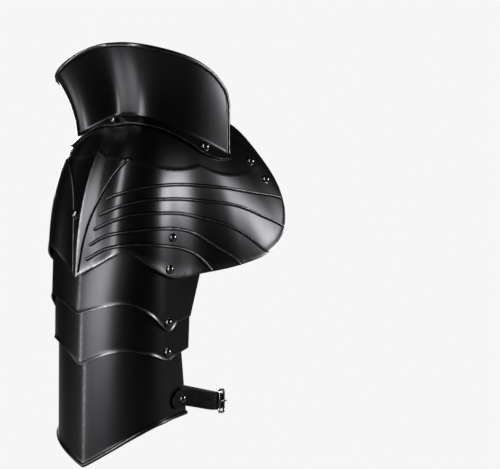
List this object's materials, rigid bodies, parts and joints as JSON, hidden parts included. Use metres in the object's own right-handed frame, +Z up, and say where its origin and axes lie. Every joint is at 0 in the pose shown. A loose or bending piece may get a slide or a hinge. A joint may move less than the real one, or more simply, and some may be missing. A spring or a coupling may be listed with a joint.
{
  "type": "pauldron",
  "caption": "Black steel shoulder guard with a ridged, fluted shoulder plate, tall flared neck guard, hinged upper arm lames, lower cannon and buckled arm strap.",
  "frame": {"origin": "where the shoulder plate sits on the shoulder, over the arm's axis and just under the plate's top", "axes": "+Z up along the arm, -X towards the ridge on the outer side, +X towards the neck, -Y to the wearer's front"},
  "size_m": [0.2272, 0.2498, 0.4273],
  "materials": {
    "black_steel": "satin black, with soft vertical streaks",
    "rivet_steel": "semi-gloss black domes",
    "strap_leather": "black, matt, with fine grain",
    "buckle_wire": "bright nickel-coloured wire"
  },
  "bodies": {
    "shoulder": {"main_plate": "black_steel", "neck_guard": "black_steel", "rivet_ridge": "rivet_steel", "rivet_plate_front": "rivet_steel", "rivet_plate_back": "rivet_steel", "rivet_neck_upper_front": "rivet_steel", "rivet_neck_upper_back": "rivet_steel", "rivet_neck_lower_front": "rivet_steel", "rivet_neck_lower_back": "rivet_steel", "rivet_flange_front": "rivet_steel", "rivet_flange_back": "rivet_steel", "rivet_flange_ridge": "rivet_steel", "pivot_1_front": "rivet_steel", "pivot_1_back": "rivet_steel"},
    "upper_lame": {"lame_1": "black_steel", "pivot_2_front": "rivet_steel", "pivot_2_back": "rivet_steel"},
    "lower_lame": {"lame_2": "black_steel", "pivot_3_front": "rivet_steel", "pivot_3_back": "rivet_steel"},
    "cannon": {"lower_cannon": "black_steel", "arm_strap": "strap_leather", "rivet_strap_front": "rivet_steel", "rivet_strap_back": "rivet_steel", "buckle_frame": "buckle_wire", "buckle_prong": "buckle_wire", "strap_keeper": "strap_leather"}
  },
  "joints": [
    {"name": "shoulder_pivot", "type": "hinge", "parent": "shoulder", "child": "upper_lame", "pos_m": [0, 0, -0.134], "axis": [0, 1, 0], "range_deg": [0, 8]},
    {"name": "upper_lame_pivot", "type": "hinge", "parent": "upper_lame", "child": "lower_lame", "pos_m": [0, 0, -0.1895], "axis": [0, 1, 0], "range_deg": [0, 12]},
    {"name": "cannon_pivot", "type": "hinge", "parent": "lower_lame", "child": "cannon", "pos_m": [0, 0, -0.2215], "axis": [0, 1, 0], "range_deg": [0, 12]}
  ]
}
